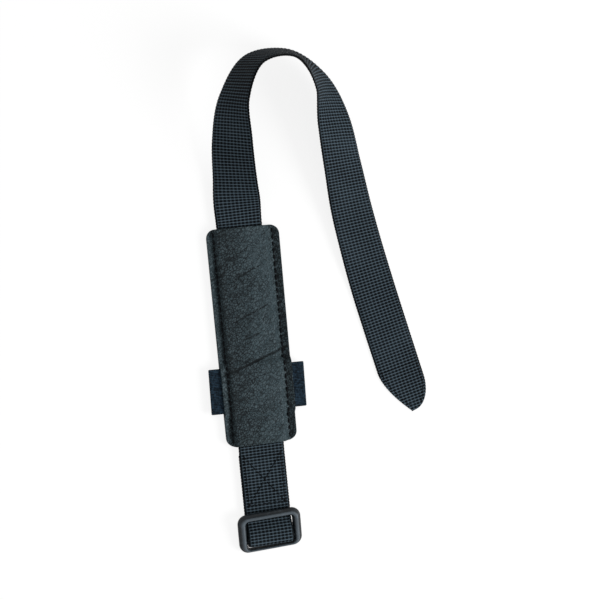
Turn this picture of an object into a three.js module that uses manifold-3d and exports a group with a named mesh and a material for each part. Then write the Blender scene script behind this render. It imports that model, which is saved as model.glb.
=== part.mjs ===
// Scanner hand strap: one webbing strap, a leather sleeve, an elastic band and a slide buckle.
// Millimetres, Z up, lying on a table at z = 0.
import * as THREE from 'three';
import { mergeVertices } from 'three/addons/utils/BufferGeometryUtils.js';
import Module from 'manifold-3d';

// Webbing
const webWidth = 25;
const webThick = 1.4;
const ribPitch = 1.62;
const ribDepth = 0.18;

// Sleeve, two leather panels sewn along their long edges
const sleeveLength = 116;
const sleeveWidthTop = 40;
const sleeveWidthBottom = 38.8;
const sleeveOffset = 1.4;
const sleeveTurn = -0.35;
const sleeveCorner = 5;
const leatherThick = 1.0;
const seamInset = 3.4;
const flangeLift = 0.8;

// Elastic band, a flattened ring round the webbing
const bandWidth = 24;
const bandThick = 0.8;
const bandCentreY = -86;
const bandTurn = -1.5;
const bandTabLeft = 24.6;
const bandTabRight = 27.2;

// Slide buckle
const buckleWidth = 34.6;
const buckleHeight = 21.2;
const buckleDepth = 3.8;
const buckleCorner = 5;
const railWidth = 4.2;
const topBarWidth = 3.6;
const lowBarWidth = 2.0;
const barRadius = 1.1;
const barDown = 15.1;
const buckleTopY = -151.9;
const buckleOffset = 0.1;
const buckleTilt = 10.5;
const buckleSwivel = 1.5;
const buckleEdge = 0.8;

// Lay on the table
const gap = 0.3;
const strapHeading = 5.8;
const foldEndY = -121;
const tipLength = 28.9;
const tipInnerRun = 26;
const tipOuterRun = 17;
const tipEndHalf = 0.4;

// Heights of the layers, each over the one below with the gap
const bandLowTop = leatherThick + gap + bandThick;
const webMid = bandLowTop + gap + webThick / 2;
const webTop = webMid + webThick / 2;
const foldMid = gap + webThick / 2;
const frontMid = foldMid + webThick + gap;
const barZ = foldMid + webThick / 2 + gap + barRadius;
const overBarMid = barZ + barRadius + gap + webThick / 2;
const rad = Math.PI / 180;

// The raised bend and the free leg: centre x, y, z and how far the inner edge is raised, in degrees
const bend = [
  [0.0, 1.7, webMid, 0],
  [-1.3, 23.1, 10.1, 32],
  [-2.2, 44.6, 17.8, 44],
  [-0.1, 66.4, 24.3, 62],
  [11.2, 84.6, 27.1, 71],
  [32.2, 86.5, 24.2, 73],
  [47.5, 72.1, 18.4, 54],
  [54.5, 50.8, 12.6, 29],
  [58.5, 28.3, 7.8, 20],
  [62.1, 5.8, 3.9, 11],
  [66.2, -16.4, 2.3, 6],
  [70.8, -38.2, 1.0, 1],
  [75.7, -59.9, 0.7, 0],
  [80.7, -81.6, 0.7, 0],
];

const smooth = (t) => {
  const c = Math.min(1, Math.max(0, t));
  return c * c * (3 - 2 * c);
};

// Closed body from equal rings of points, capped at both ends unless it closes on itself
function bodyFromRings(rings, capFan) {
  const n = rings[0].length;
  const position = [];
  const index = [];
  for (const ring of rings) for (const p of ring) position.push(p.x, p.y, p.z);
  for (let i = 0; i < rings.length - 1; i++) {
    for (let j = 0; j < n; j++) {
      const a = i * n + j;
      const b = i * n + ((j + 1) % n);
      index.push(a, b, a + n, b, b + n, a + n);
    }
  }
  capFan(n).forEach(([a, b, c]) => {
    const end = (rings.length - 1) * n;
    index.push(c, b, a);
    index.push(end + a, end + b, end + c);
  });
  const g = new THREE.BufferGeometry();
  g.setAttribute('position', new THREE.Float32BufferAttribute(position, 3));
  g.setIndex(index);
  return g;
}
const fan = (n) => Array.from({ length: n - 2 }, (_, k) => [0, k + 1, k + 2]);

function signedVolume(g) {
  const p = g.attributes.position;
  const ix = g.index.array;
  const a = new THREE.Vector3();
  const b = new THREE.Vector3();
  const c = new THREE.Vector3();
  let v = 0;
  for (let i = 0; i < ix.length; i += 3) {
    a.fromBufferAttribute(p, ix[i]);
    b.fromBufferAttribute(p, ix[i + 1]);
    c.fromBufferAttribute(p, ix[i + 2]);
    v += a.dot(b.cross(c)) / 6;
  }
  return v;
}
function faceOutwards(g) {
  if (signedVolume(g) < 0) {
    const ix = g.index.array;
    for (let i = 0; i < ix.length; i += 3) [ix[i], ix[i + 1]] = [ix[i + 1], ix[i]];
  }
  return g;
}

// Webbing centre line: folded end, round the buckle bar, up through the sleeve, bend, free leg
function webbingPath() {
  const tilt = Math.cos(buckleTilt * rad);
  const loopY = buckleTopY - (barDown + 1.0) * tilt;
  const loopR = overBarMid - barZ;
  const pts = [];
  const add = (x, y, z, lean) => pts.push({ p: new THREE.Vector3(x, y, z), lean });
  for (let y = foldEndY; y > loopY + 1; y -= 4) add(0, y, foldMid, 0);
  for (let k = 0; k <= 12; k++) {
    const a = (k / 12) * Math.PI;
    add(0, loopY - Math.sin(a) * loopR, barZ - Math.cos(a) * loopR, 0);
  }
  const riseEnd = buckleTopY - 12.5 * tilt;
  const riseStart = buckleTopY - 4 * tilt;
  for (let k = 0; k <= 10; k++) {
    const t = k / 10;
    add(0, riseEnd + (riseStart - riseEnd) * t, overBarMid + (frontMid - overBarMid) * smooth(t), 0);
  }
  const liftStart = foldEndY - 1;
  const liftEnd = liftStart + 8;
  for (let y = riseStart + 4; y < liftStart - 1; y += 4) add(0, y, frontMid, 0);
  for (let k = 0; k <= 4; k++) {
    add(0, liftStart + 2 * k, frontMid + (webMid - frontMid) * smooth(k / 4), 0);
  }
  for (let y = liftEnd + 4; y < bend[0][1] - 1; y += 4) add(0, y, webMid, 0);
  const last = bend[bend.length - 1];
  const before = bend[bend.length - 2];
  const run = Math.hypot(last[0] - before[0], last[1] - before[1]);
  const tip = last.map((v, k) => (k < 2 ? v + ((v - before[k]) * tipLength) / run : v));
  const level = bend[1].map((v, k) => (k === 1 ? 2 * bend[0][1] - v : v));
  const knots = [level, ...bend, tip];
  knots.push(tip.map((v, k) => 2 * v - last[k]));
  for (let i = 1; i < knots.length - 2; i++) {
    for (let s = 0; s < 12; s++) {
      const t = s / 12;
      const [a, b, c, d] = [knots[i - 1], knots[i], knots[i + 1], knots[i + 2]];
      const v = b.map((_, k) => 0.5 * (2 * b[k] + (c[k] - a[k]) * t
        + (2 * a[k] - 5 * b[k] + 4 * c[k] - d[k]) * t * t + (3 * b[k] - a[k] - 3 * c[k] + d[k]) * t ** 3));
      add(v[0], v[1], v[2], v[3]);
    }
  }
  add(tip[0], tip[1], tip[2], tip[3]);
  return pts;
}

// Frames at equal steps along the webbing
function webbingFrames(step) {
  const pts = webbingPath();
  const s = [0];
  for (let i = 1; i < pts.length; i++) s.push(s[i - 1] + pts[i].p.distanceTo(pts[i - 1].p));
  const total = s[s.length - 1];
  const count = Math.round(total / step);
  const frames = [];
  let i = 0;
  const at = (d) => {
    while (i < s.length - 2 && s[i + 1] < d) i += 1;
    const f = (d - s[i]) / (s[i + 1] - s[i]);
    return { p: pts[i].p.clone().lerp(pts[i + 1].p, f), lean: pts[i].lean + (pts[i + 1].lean - pts[i].lean) * f };
  };
  for (let k = 0; k <= count; k++) frames.push({ d: (total * k) / count, ...at((total * k) / count) });
  let across = new THREE.Vector3(1, 0, 0);
  frames.forEach((f, k) => {
    const a = frames[Math.max(0, k - 1)].p;
    const b = frames[Math.min(frames.length - 1, k + 1)].p;
    f.t = b.clone().sub(a).normalize();
    if (f.p.y > bend[0][1] - 1 || f.p.x > 20) {
      const level = new THREE.Vector3().crossVectors(f.t, new THREE.Vector3(0, 0, 1)).normalize();
      const up = new THREE.Vector3().crossVectors(level, f.t);
      across = level.multiplyScalar(Math.cos(f.lean * rad)).addScaledVector(up, Math.sin(f.lean * rad));
    } else {
      across = new THREE.Vector3(1, 0, 0);
    }
    f.across = across.clone();
    f.up = new THREE.Vector3().crossVectors(f.across, f.t).normalize();
  });
  return { frames, total };
}

// Half widths at the pointed end: the inner flank is straight, the outer one rounder
function halfWidths(left) {
  const half = webWidth / 2;
  const ti = Math.max(0, 1 - left / tipInnerRun);
  const to = Math.max(0, 1 - left / tipOuterRun);
  return {
    inner: Math.max(tipEndHalf, half * (1 - ti ** 1.6)),
    outer: Math.max(tipEndHalf, half * (1 - to * to) ** 0.43),
  };
}

// Woven ribs across the strap: each second ring is a valley
function webbingStrap() {
  const { frames, total } = webbingFrames(ribPitch / 2);
  const rings = frames.map((f, k) => {
    const w = halfWidths(total - f.d);
    const up = f.up.clone().multiplyScalar(webThick / 2 - (k % 2 ? ribDepth : 0));
    const inner = f.p.clone().addScaledVector(f.across, w.inner);
    const outer = f.p.clone().addScaledVector(f.across, -w.outer);
    return [inner.clone().add(up), outer.clone().add(up), outer.clone().sub(up), inner.clone().sub(up)];
    });
  return faceOutwards(bodyFromRings(rings, fan));
}

// Leather panel as a thick sheet over a height function, with rounded corners
function panel(heightAt, side, overBand) {
  const rows = [];
  const share = [...side.map((v) => -v), ...[...side].reverse()];
  const cols = share.length - 1;
  const bandHalf = bandWidth / 2;
  const stops = new Set();
  for (let k = 0; k <= 5; k++) {
    const d = sleeveCorner * (1 - Math.cos((k / 5) * Math.PI * 0.5));
    stops.add(+d.toFixed(3));
    stops.add(+(sleeveLength - d).toFixed(3));
  }
  for (let d = sleeveCorner + 8; d < sleeveLength - sleeveCorner - 4; d += 12) stops.add(d);
  const steps = overBand ? [0.2, 1.0, 1.8, 2.6, 3.4, 4.0] : [];
  for (const e of [-1, 1]) for (const k of steps) stops.add(-bandCentreY + e * (bandHalf + k));
  const list = [...stops].sort((a, b) => a - b).filter((d, k, l) => k === 0 || d - l[k - 1] > 0.15);
  for (const d of list) {
    const full = (sleeveWidthTop + ((sleeveWidthBottom - sleeveWidthTop) * d) / sleeveLength) / 2;
    const e = Math.min(d, sleeveLength - d);
    const q = Math.max(0, sleeveCorner - e);
    const half = full - (sleeveCorner - Math.sqrt(sleeveCorner ** 2 - q * q));
    const top = [];
    const low = [];
    for (let c = 0; c <= cols; c++) {
      const x = half * share[c];
      const z = heightAt(x, -d, full);
      top.push(new THREE.Vector3(x, -d, z + leatherThick));
      low.push(new THREE.Vector3(x, -d, z));
    }
    rows.push([...top, ...low.reverse()]);
  }
  const cap = () => {
    const t = [];
    const m = 2 * (cols + 1);
    for (let c = 0; c < cols; c++) t.push([c, c + 1, m - 1 - c], [c + 1, m - 2 - c, m - 1 - c]);
    return t;
  };
  const g = bodyFromRings(rows, cap);
  g.rotateZ(sleeveTurn * rad);
  g.translate(sleeveOffset, 0, 0);
  return faceOutwards(g);
}
const flange = (x, full) => flangeLift * smooth((Math.abs(x) - (full - seamInset)) / seamInset);
const onBand = (y) => {
  const d = Math.abs(y - bandCentreY) - bandWidth / 2;
  return 1 - smooth((d - 0.6) / 3);
};
// Position across the strap of a point across the sleeve
const acrossStrap = (x, y) => x + sleeveOffset - y * Math.sin(sleeveTurn * rad);
const crownShare = (x) => 1 - smooth((Math.abs(x) - webWidth / 2 - 0.4) / 2.3);
const backHeight = (x, y, full) => flange(x, full);
const frontHeight = (x, y, full) => {
  const b = onBand(y);
  const seam = leatherThick + gap + b * (2 * bandThick + 2.4 * gap);
  const crown = webTop + gap + b * (bandThick + 1.4 * gap);
  return seam + (crown - seam) * crownShare(acrossStrap(x, y)) + flange(x, full);
};

// Elastic ring: two layers meeting in folded tabs beyond the sleeve
function elasticBand() {
  const low = leatherThick + gap;
  const shut = low + bandThick + gap;
  const open = webTop + gap;
  const half = (sleeveWidthTop + ((sleeveWidthTop - sleeveWidthBottom) * bandCentreY) / sleeveLength) / 2;
  const lift = (x) => flange(x - acrossStrap(0, bandCentreY), half);
  const upper = (x) => shut + (open - shut) * crownShare(x) + lift(x);
  const left = -bandTabLeft + bandThick;
  const right = bandTabRight - bandThick;
  const n = 80;
  const xs = Array.from({ length: n + 1 }, (_, k) => left + ((right - left) * k) / n);
  const outer = [];
  const inner = [];
  const r = bandThick + gap / 2;
  const turn = (x, side) => {
    const mid = low + lift(x) + r;
    for (let k = 1; k <= 5; k++) {
      const a = (-0.5 + k / 6) * Math.PI;
      outer.push([x + side * Math.cos(a) * r, mid + side * Math.sin(a) * r]);
      inner.push([x + side * Math.cos(a) * (gap / 2), mid + side * Math.sin(a) * (gap / 2)]);
    }
  };
  for (const x of xs) {
    outer.push([x, low + lift(x)]);
    inner.push([x, low + lift(x) + bandThick]);
  }
  turn(right, 1);
  for (const x of [...xs].reverse()) {
    outer.push([x, upper(x) + bandThick]);
    inner.push([x, upper(x)]);
  }
  turn(left, -1);
  const m = outer.length;
  const position = [];
  const index = [];
  for (const y of [-bandWidth / 2, bandWidth / 2]) {
    for (const [x, z] of outer) position.push(x, y, z);
    for (const [x, z] of inner) position.push(x, y, z);
  }
  for (let k = 0; k < m; k++) {
    const j = (k + 1) % m;
    const far = 2 * m;
    index.push(k, j, far + k, j, far + j, far + k);
    index.push(m + j, m + k, far + m + k, m + j, far + m + k, far + m + j);
    index.push(j, k, m + k, j, m + k, m + j);
    index.push(far + k, far + j, far + m + k, far + j, far + m + j, far + m + k);
  }
  const g = new THREE.BufferGeometry();
  g.setAttribute('position', new THREE.Float32BufferAttribute(position, 3));
  g.setIndex(index);
  g.rotateZ(bandTurn * rad);
  g.translate(0, bandCentreY, 0);
  return faceOutwards(g);
}

// Buckle: rounded frame with one window, and the round bar the strap is sewn to
const wasm = await Module();
wasm.setup();
function toSolid(g) {
  const plain = new THREE.BufferGeometry();
  plain.setAttribute('position', g.attributes.position.clone());
  if (g.index) plain.setIndex(g.index.clone());
  const m = mergeVertices(plain, 1e-4);
  const mesh = new wasm.Mesh({
    numProp: 3,
    vertProperties: new Float32Array(m.attributes.position.array),
    triVerts: new Uint32Array(m.index.array),
  });
  return new wasm.Manifold(mesh);
}
function fromSolid(s) {
  const m = s.getMesh();
  const g = new THREE.BufferGeometry();
  const count = m.vertProperties.length / m.numProp;
  const p = new Float32Array(count * 3);
  for (let i = 0; i < count; i++) for (let k = 0; k < 3; k++) p[i * 3 + k] = m.vertProperties[i * m.numProp + k];
  g.setAttribute('position', new THREE.BufferAttribute(p, 3));
  g.setIndex([...m.triVerts]);
  return g;
}
function roundedRect(shape, x0, y0, x1, y1, r) {
  shape.moveTo(x0 + r, y0);
  shape.lineTo(x1 - r, y0);
  shape.absarc(x1 - r, y0 + r, r, -Math.PI / 2, 0, false);
  shape.lineTo(x1, y1 - r);
  shape.absarc(x1 - r, y1 - r, r, 0, Math.PI / 2, false);
  shape.lineTo(x0 + r, y1);
  shape.absarc(x0 + r, y1 - r, r, Math.PI / 2, Math.PI, false);
  shape.lineTo(x0, y0 + r);
  shape.absarc(x0 + r, y0 + r, r, Math.PI, 1.5 * Math.PI, false);
  return shape;
}
function slideBuckle() {
  const w = buckleWidth / 2;
  const frame = roundedRect(new THREE.Shape(), -w, -buckleHeight, w, 0, buckleCorner);
  const window = roundedRect(new THREE.Path(), -w + railWidth, -buckleHeight + lowBarWidth, w - railWidth,
    -topBarWidth, 1.5);
  frame.holes.push(window);
  const body = new THREE.ExtrudeGeometry(frame, {
    depth: buckleDepth - 2 * buckleEdge,
    bevelEnabled: true,
    bevelThickness: buckleEdge,
    bevelSize: buckleEdge,
    bevelOffset: -buckleEdge,
    bevelSegments: 3,
    curveSegments: 8,
  });
  body.translate(0, 0, buckleEdge);
  const bar = new THREE.CylinderGeometry(barRadius, barRadius, buckleWidth - railWidth, 20);
  bar.rotateZ(Math.PI / 2);
  const c = Math.cos(buckleTilt * rad);
  const sTilt = Math.sin(buckleTilt * rad);
  const lowZ = frontMid + webThick / 2 + gap + topBarWidth * sTilt;
  const barUp = (barZ - lowZ + barDown * sTilt) / c;
  bar.translate(0, -barDown, barUp);
  const g = fromSolid(toSolid(body).add(toSolid(bar)));
  g.rotateX(buckleTilt * rad);
  g.translate(0, (barDown * c), 0);
  g.rotateZ(buckleSwivel * rad);
  g.translate(buckleOffset, buckleTopY - barDown * c, lowZ);
  return faceOutwards(g);
}

const cloth = (color) => new THREE.MeshStandardMaterial({ color, roughness: 0.9, metalness: 0 });
const part = new THREE.Group();
function put(name, geometry, material) {
  const mesh = new THREE.Mesh(geometry, material);
  mesh.name = name;
  part.add(mesh);
}
put('webbing_strap', webbingStrap(), cloth(0x23292f));
const backColumns = [1, 0.96, 0.92, 0.88, 0.84, 0.4];
const frontColumns = [1, 0.95, 0.9, 0.86, 0.83, 0.8, 0.77, 0.74, 0.71, 0.68, 0.65, 0.62, 0.59, 0.56, 0.3];
put('sleeve_back', panel(backHeight, backColumns, false), cloth(0x2a3034));
put('sleeve_front', panel(frontHeight, frontColumns, true), cloth(0x2d3438));
put('elastic_band', elasticBand(), cloth(0x1b2025));
put('slide_buckle', slideBuckle(), new THREE.MeshStandardMaterial({ color: 0x2e3337, roughness: 0.5, metalness: 0 }));

// Turn to the heading on the table and centre the outline over the origin
const box = new THREE.Box3();
for (const m of part.children) {
  m.geometry.rotateZ(strapHeading * rad);
  m.geometry.computeBoundingBox();
  box.union(m.geometry.boundingBox);
}
const mid = box.getCenter(new THREE.Vector3());
for (const m of part.children) {
  m.geometry.translate(-mid.x, -mid.y, -box.min.z);
  m.geometry.computeVertexNormals();
}

export default part;
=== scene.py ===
import math
from functools import partial
import bmesh
import bpy
import numpy as np
from mathutils import Matrix, Vector


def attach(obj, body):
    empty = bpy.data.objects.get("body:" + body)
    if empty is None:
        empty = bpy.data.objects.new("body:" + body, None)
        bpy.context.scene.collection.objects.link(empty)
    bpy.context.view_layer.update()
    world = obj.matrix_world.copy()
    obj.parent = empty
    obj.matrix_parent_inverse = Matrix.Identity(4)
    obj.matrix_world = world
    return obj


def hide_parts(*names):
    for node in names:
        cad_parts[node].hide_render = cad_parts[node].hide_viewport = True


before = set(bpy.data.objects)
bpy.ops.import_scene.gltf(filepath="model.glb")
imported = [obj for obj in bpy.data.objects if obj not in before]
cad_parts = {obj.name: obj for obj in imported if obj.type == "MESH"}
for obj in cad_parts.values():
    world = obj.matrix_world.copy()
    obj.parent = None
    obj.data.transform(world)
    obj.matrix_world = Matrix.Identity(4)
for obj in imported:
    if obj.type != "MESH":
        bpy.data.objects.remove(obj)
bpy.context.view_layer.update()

# Scanner hand strap: black webbing, a leather sleeve, an elastic ring and a slide buckle.
# Shapes are worked out in millimetres along the strap (y runs from the sleeve's mouth to the tip side),
# then turned to the heading on the table and put in metres.
mm = 0.001
lay = {"heading": 5.8, "mouth": (-43.774, 39.929, 0.0381), "gap": 0.3}


def toTable(points):
    p = np.asarray(points, float).reshape(-1, 3)
    c, s = math.cos(math.radians(lay["heading"])), math.sin(math.radians(lay["heading"]))
    turned = np.column_stack([p[:, 0] * c - p[:, 1] * s, p[:, 0] * s + p[:, 1] * c, p[:, 2]])
    return (turned + lay["mouth"]) * mm


def turnToTable(vectors):
    v = np.asarray(vectors, float).reshape(-1, 3)
    c, s = math.cos(math.radians(lay["heading"])), math.sin(math.radians(lay["heading"]))
    return np.column_stack([v[:, 0] * c - v[:, 1] * s, v[:, 0] * s + v[:, 1] * c, v[:, 2]])


def smooth(t):
    c = np.clip(t, 0, 1)
    return c * c * (3 - 2 * c)


def colour(text):
    # sRGB hex to the linear values that shaders use
    value = [int(text[i:i + 2], 16) / 255 for i in (1, 3, 5)]
    return [c / 12.92 if c < 0.04045 else ((c + 0.055) / 1.055) ** 2.4 for c in value] + [1.0]


def addNode(tree, kind, inputs=(), **settings):
    # inputs come in order or by name: plain values, sockets, or nodes that give their first output;
    # a kind such as "Math" is short for "ShaderNodeMath"
    node = tree.nodes.new(kind if "Node" in kind else "ShaderNode" + kind)
    for name, value in settings.items():
        setattr(node, name, value)
    for name, value in inputs.items() if isinstance(inputs, dict) else enumerate(inputs):
        if isinstance(value, bpy.types.Node):
            value = value.outputs[0]
        if isinstance(value, bpy.types.NodeSocket):
            tree.links.new(value, node.inputs[name])
        else:
            node.inputs[name].default_value = value
    return node


def startMaterial(name):
    material = bpy.data.materials.new(name)
    material.use_nodes = True
    material.node_tree.nodes.clear()
    return material, partial(addNode, material.node_tree)


def makeObject(name, points, faces=(), edges=(), onTable=True):
    mesh = bpy.data.meshes.new(name)
    placed = toTable(points) if onTable else np.asarray(points, float)
    mesh.from_pydata([tuple(p) for p in placed], [tuple(e) for e in edges], [tuple(f) for f in faces])
    mesh.validate()
    piece = bpy.data.objects.new(name, mesh)
    bpy.context.scene.collection.objects.link(piece)
    return piece


def pointOutwards(piece, smoothFaces=True):
    work = bmesh.new()
    work.from_mesh(piece.data)
    bmesh.ops.remove_doubles(work, verts=work.verts, dist=1e-7)
    bmesh.ops.recalc_face_normals(work, faces=work.faces)
    for face in work.faces:
        face.smooth = smoothFaces
    work.to_mesh(piece.data)
    work.free()
    return piece


def setAttribute(piece, name, kind, values):
    field = "vector" if kind == "FLOAT_VECTOR" else "value"
    attribute = piece.data.attributes.new(name, kind, "POINT")
    attribute.data.foreach_set(field, np.asarray(values, np.float32).ravel())


def bakeNodes(piece, tree, settings, name):
    # runs a Geometry Nodes tree on the piece and keeps the result as a plain mesh
    modifier = piece.modifiers.new(tree.name, "NODES")
    modifier.node_group = tree
    for item in tree.interface.items_tree:
        if item.item_type == "SOCKET" and item.in_out == "INPUT" and item.name in settings:
            modifier[item.identifier] = settings[item.name]
    graph = bpy.context.evaluated_depsgraph_get()
    graph.update()
    mesh = bpy.data.meshes.new_from_object(piece.evaluated_get(graph), depsgraph=graph)
    piece.modifiers.clear()
    mesh.name = name
    made = bpy.data.objects.new(name, mesh)
    bpy.context.scene.collection.objects.link(made)
    bpy.data.objects.remove(piece)
    return made


def startTree(name, sockets):
    tree = bpy.data.node_groups.new(name, "GeometryNodeTree")
    tree.interface.new_socket("Geometry", in_out="INPUT", socket_type="NodeSocketGeometry")
    for label, (kind, value) in sockets.items():
        socket = tree.interface.new_socket(label, in_out="INPUT", socket_type="NodeSocket" + kind)
        if value is not None:
            socket.default_value = value
    tree.interface.new_socket("Geometry", in_out="OUTPUT", socket_type="NodeSocketGeometry")
    return tree, tree.nodes.new("NodeGroupInput").outputs


def finishPiece(piece, material, slotName, *nodes):
    piece.data.materials.clear()
    piece.data.materials.append(material)
    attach(piece, "root")
    if nodes:
        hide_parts(*nodes)
    return piece


# Camera fitted to the outlines in the photo: 0.72 m over the table, leaning 14 degrees from the left
cameraView = {
    "place": (-196.074, 21.929, 722.34),
    "right": (0.96832, 0.0, 0.24971),
    "up": (0.00698, 0.99961, -0.02706),
    "lens": 83.174,
}


def addCamera():
    right, up = Vector(cameraView["right"]), Vector(cameraView["up"])
    data = bpy.data.cameras.new("photoCamera")
    data.lens = cameraView["lens"]
    data.sensor_width = 36
    data.clip_start, data.clip_end = 0.01, 20
    camera = bpy.data.objects.new("photoCamera", data)
    bpy.context.scene.collection.objects.link(camera)
    turn = Matrix((right, up, right.cross(up))).transposed().to_4x4()
    camera.matrix_world = Matrix.Translation(Vector(cameraView["place"]) * mm) @ turn
    bpy.context.scene.camera = camera


addCamera()
print("camera in place")

# Nylon webbing, woven and heat-set: rows of pale ribs with dark pits between, smooth dark edges
webbing = {
    "width": 25.0,
    "thickness": 1.4,
    "ribPitch": 1.62,
    "pitPitch": 25 / 12,
    "pitColumns": 11,
    "ribDepth": 0.26,
    "pitDepth": 0.22,
    "stepsPerRib": 3,
    "stepsAcross": 36,
    "routeStep": 0.4,
    "foldEndY": -121.0,
    # slant of the ribs in the bend: mm from the folded end, mm along the strap for each mm across it
    "ribSlant": ((240, 0), (269, 0.04), (292, 0.14), (318, 0.2), (336, 0), (354, -0.42), (381, -0.27),
                 (404, -0.12), (427, -0.07), (450, -0.05), (480, 0)),
    "tipLength": 28.9,
    "tipInner": 26.0,
    "tipOuter": 17.0,
    "roughness": 0.6,
    "specular": 0.05,
    "shadeLight": "#556570",
    # near black of the painted shade in the rib valleys and pits
    "shadeDark": "#020407",
}
# Heights of the layers over the table: leather, elastic, webbing, elastic, leather
leatherThick = 1.0
bandThick = 0.8
webMid = leatherThick + 2 * lay["gap"] + bandThick + webbing["thickness"] / 2
webTop = webMid + webbing["thickness"] / 2
foldMid = lay["gap"] + webbing["thickness"] / 2
frontMid = foldMid + webbing["thickness"] + lay["gap"]

# The raised bend and the free leg: centre x, y, z and how far the inner edge is raised, in degrees
bend = [
    (0.0, 1.7, webMid, 0), (-1.3, 23.1, 10.1, 32), (-2.2, 44.6, 17.8, 44), (-0.1, 66.4, 24.3, 62),
    (11.2, 84.6, 27.1, 71), (32.2, 86.5, 24.2, 73), (47.5, 72.1, 18.4, 54), (54.5, 50.8, 12.6, 29),
    (58.5, 28.3, 7.8, 20), (62.1, 5.8, 3.9, 11), (66.2, -16.4, 2.3, 6), (70.8, -38.2, 1.0, 1),
    (75.7, -59.9, 0.7, 0), (80.7, -81.6, 0.7, 0),
]
buckle = {
    "width": 34.6,
    "height": 21.2,
    "depth": 3.8,
    "corner": 5.0,
    "sideRail": 4.2,
    "topBar": 3.6,
    "lowBar": 2.0,
    "barRadius": 1.1,
    "barDown": 15.1,
    "topY": -151.9,
    "offset": 0.1,
    "tilt": 10.5,
    "swivel": 1.5,
    "windowCorner": 2.0,
    "specular": 0.25,
    "shade": "#12171b",
    # pale grey of the wear patches and of the painted highlight on the rim's crown
    "shadeEdge": "#59636b",
}
barZ = foldMid + webbing["thickness"] / 2 + lay["gap"] + buckle["barRadius"]
overBarMid = barZ + buckle["barRadius"] + lay["gap"] + webbing["thickness"] / 2


def webbingRoute():
    # folded end, round the buckle bar, up through the sleeve, bend, free leg: rows of x, y, z, lean
    tilt = math.cos(math.radians(buckle["tilt"]))
    loopY = buckle["topY"] - (buckle["barDown"] + 1.0) * tilt
    loopR = overBarMid - barZ
    rows = [(0, y, foldMid, 0) for y in np.arange(webbing["foldEndY"], loopY + 1, -4.0)]
    for k in range(13):
        a = k / 12 * math.pi
        rows.append((0, loopY - math.sin(a) * loopR, barZ - math.cos(a) * loopR, 0))
    riseEnd, riseStart = buckle["topY"] - 12.5 * tilt, buckle["topY"] - 4 * tilt
    for k in range(11):
        t = k / 10
        height = overBarMid + (frontMid - overBarMid) * smooth(t)
        rows.append((0, riseEnd + (riseStart - riseEnd) * t, height, 0))
    liftStart = webbing["foldEndY"] - 1
    rows += [(0, y, frontMid, 0) for y in np.arange(riseStart + 4, liftStart - 1, 4.0)]
    for k in range(5):
        rows.append((0, liftStart + 2 * k, frontMid + (webMid - frontMid) * smooth(k / 4), 0))
    rows += [(0, y, webMid, 0) for y in np.arange(liftStart + 12, bend[0][1] - 1, 4.0)]
    last, before = np.array(bend[-1]), np.array(bend[-2])
    step = last - before
    step[2:] = 0
    tip = last + step * webbing["tipLength"] / np.linalg.norm(step)
    level = np.array(bend[1], float)
    level[1] = 2 * bend[0][1] - level[1]
    knots = [level] + [np.array(b, float) for b in bend] + [tip, 2 * tip - last]
    for i in range(1, len(knots) - 2):
        a, b, c, d = knots[i - 1:i + 3]
        for s in range(12):
            t = s / 12
            rows.append(tuple(0.5 * (2 * b + (c - a) * t + (2 * a - 5 * b + 4 * c - d) * t * t
                                     + (3 * b - a - 3 * c + d) * t ** 3)))
    rows.append(tuple(tip))
    return np.array(rows, float)


def webbingFrames(step):
    rows = webbingRoute()
    run = np.concatenate([[0], np.cumsum(np.linalg.norm(np.diff(rows[:, :3], axis=0), axis=1))])
    count = round(run[-1] / step)
    at = np.linspace(0, run[-1], count + 1)
    centre = np.column_stack([np.interp(at, run, rows[:, k]) for k in range(3)])
    lean = np.radians(np.interp(at, run, rows[:, 3]))
    along = np.gradient(centre, axis=0)
    along /= np.linalg.norm(along, axis=1)[:, None]
    across = np.tile([1.0, 0, 0], (len(at), 1))
    free = (centre[:, 1] > bend[0][1] - 1) | (centre[:, 0] > 20)
    side = np.cross(along, [0, 0, 1])
    side /= np.maximum(np.linalg.norm(side, axis=1), 1e-9)[:, None]
    up = np.cross(side, along)
    leaning = side * np.cos(lean)[:, None] + up * np.sin(lean)[:, None]
    across[free] = leaning[free]
    left = run[-1] - at
    half = webbing["width"] / 2
    inner = half * (1 - np.clip(1 - left / webbing["tipInner"], 0, 1) ** 1.6)
    outer = half * np.clip(1 - np.clip(1 - left / webbing["tipOuter"], 0, 1) ** 2, 0, 1) ** 0.43
    return at, centre, across, np.cross(across, along), np.maximum(inner, 0.4), np.maximum(outer, 0.4)


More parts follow.
